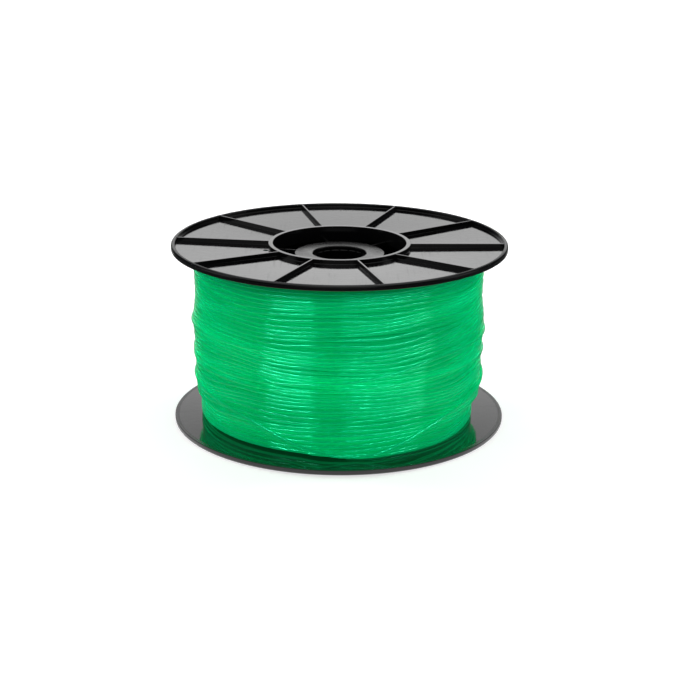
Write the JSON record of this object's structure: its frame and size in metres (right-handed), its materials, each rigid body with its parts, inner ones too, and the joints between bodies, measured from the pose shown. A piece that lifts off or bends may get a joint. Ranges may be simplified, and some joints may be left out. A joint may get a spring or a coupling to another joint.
{
  "type": "filament spool",
  "caption": "Filament spool for a 3D printer: ribbed flanges on a hollow barrel with a spindle bore, wound full of translucent filament.",
  "frame": {"origin": "middle of the lower flange's rim plane, on the spool's axis, where it stands", "axes": "+Z along the spool's axis, up to the upper flange; +X to the right and +Y away from the viewer in the picture"},
  "size_m": [0.2, 0.2, 0.11],
  "materials": {
    "spool_plastic": "glossy black moulded plastic",
    "filament": "translucent green, glossy"
  },
  "bodies": {
    "root": {"upper_flange": "spool_plastic", "lower_flange": "spool_plastic", "barrel": "spool_plastic", "upper_hub_insert": "spool_plastic", "lower_hub_insert": "spool_plastic", "spindle_tube": "spool_plastic", "filament_inner_layers": "filament", "filament_outer_layer": "filament"}
  },
  "joints": []
}
